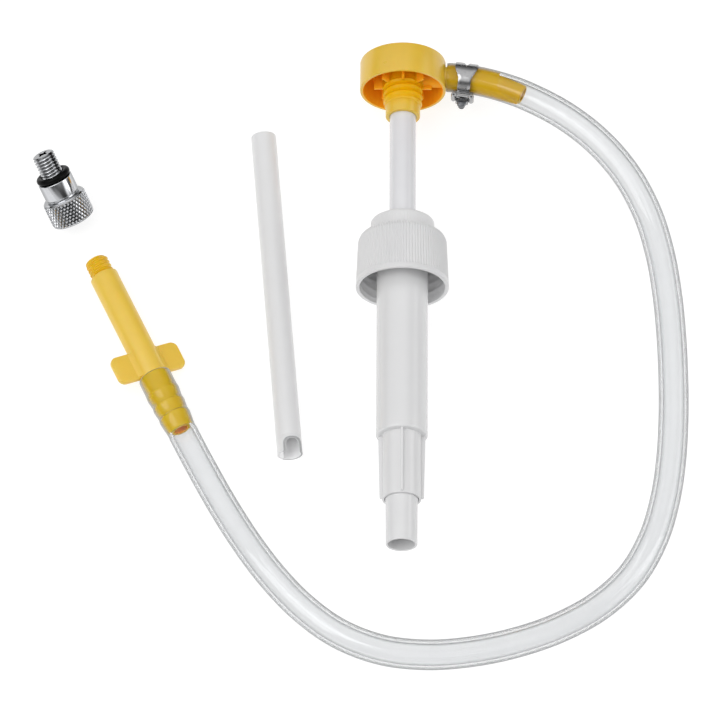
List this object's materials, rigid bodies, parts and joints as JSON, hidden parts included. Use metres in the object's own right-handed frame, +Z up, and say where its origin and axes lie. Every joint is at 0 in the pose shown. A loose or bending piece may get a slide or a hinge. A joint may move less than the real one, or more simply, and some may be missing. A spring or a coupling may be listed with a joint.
{
  "type": "fluid transfer pump",
  "caption": "Hand plunger pump that screws on a bottle, with a clear delivery hose, a winged threaded hose end, a metal fill fitting and a dip tube.",
  "frame": {"origin": "centre of the base of the laid-out kit without its hose and hose end, on the plane it lies on", "axes": "+Y along the pump towards its head (the pump falls 0.7 degrees and swings 0.4 degrees from it), +Z up from the plane, +X to the side the outlet leaves"},
  "size_m": [0.2947, 0.295, 0.0419],
  "materials": {
    "head": "yellow moulded polypropylene, satin gloss",
    "stem": "white moulded polypropylene, smooth",
    "barrel": "white moulded polypropylene, slightly translucent",
    "closure": "white moulded polypropylene, fine grip ribs",
    "dip_tube": "white extruded polyethylene, satin",
    "piston": "natural moulded plastic",
    "seal": "grey elastomer",
    "balls": "polished steel",
    "spring": "drawn stainless wire",
    "hose": "clear flexible vinyl",
    "clamp": "zinc plated steel strip",
    "clamp_screw": "dark plated steel",
    "fitting": "nickel plated turned brass, knurled",
    "o_ring": "black nitrile rubber"
  },
  "bodies": {
    "plunger": {"pump_head": "head", "plunger_stem": "stem", "piston": "piston", "delivery_hose": "hose", "clamp_band": "clamp", "clamp_housing": "clamp", "hose_end_adapter": "head"},
    "seal_ring": {"piston_cup": "seal"},
    "barrel": {"pump_barrel": "barrel", "lock_collar": "closure", "foot_valve": "barrel", "ball_cage": "piston", "return_spring": "spring", "cap_gasket": "seal"},
    "closure": {"screw_cap": "closure"},
    "inlet_valve": {"inlet_ball": "balls"},
    "discharge_valve": {"discharge_ball": "balls"},
    "worm_screw": {"clamp_screw": "clamp_screw"},
    "dip_tube": {"dip_tube": "dip_tube"},
    "fill_fitting": {"fitting_body": "fitting", "fitting_o_ring": "o_ring", "fitting_washer": "o_ring"}
  },
  "joints": [
    {"name": "barrel_turn", "type": "hinge", "parent": "plunger", "child": "seal_ring", "pos_m": [0.05474, 0.01557, 0.02083], "axis": [0.0066, 0.9999, -0.0116], "continuous": true},
    {"name": "plunger_stroke", "type": "slide", "parent": "seal_ring", "child": "barrel", "axis": [0.0066, 0.9999, -0.0116], "range_m": [0, 0.065], "stiffness_N_per_m": 120, "springref_m": -0.05, "deforming": ["return_spring"]},
    {"name": "cap_turn", "type": "hinge", "parent": "barrel", "child": "closure", "pos_m": [0.05476, 0.01857, 0.02079], "axis": [0.0066, 0.9999, -0.0116], "continuous": true},
    {"name": "inlet_ball_lift", "type": "slide", "parent": "barrel", "child": "inlet_valve", "axis": [0.0066, 0.9999, -0.0116], "range_m": [0, 0.003]},
    {"name": "discharge_ball_lift", "type": "slide", "parent": "plunger", "child": "discharge_valve", "axis": [0.0066, 0.9999, -0.0116], "range_m": [0, 0.003]},
    {"name": "clamp_screw_turn", "type": "hinge", "parent": "plunger", "child": "worm_screw", "pos_m": [0.08206, 0.10037, 0.01967], "axis": [0, 0, 1], "continuous": true},
    {"name": "dip_tube_lift", "type": "slide", "parent": "plunger", "child": "dip_tube", "axis": [0, 0, 1], "range_m": [0, 0.12]},
    {"name": "fitting_lift", "type": "slide", "parent": "plunger", "child": "fill_fitting", "axis": [0, 0, 1], "range_m": [0, 0.08]}
  ]
}
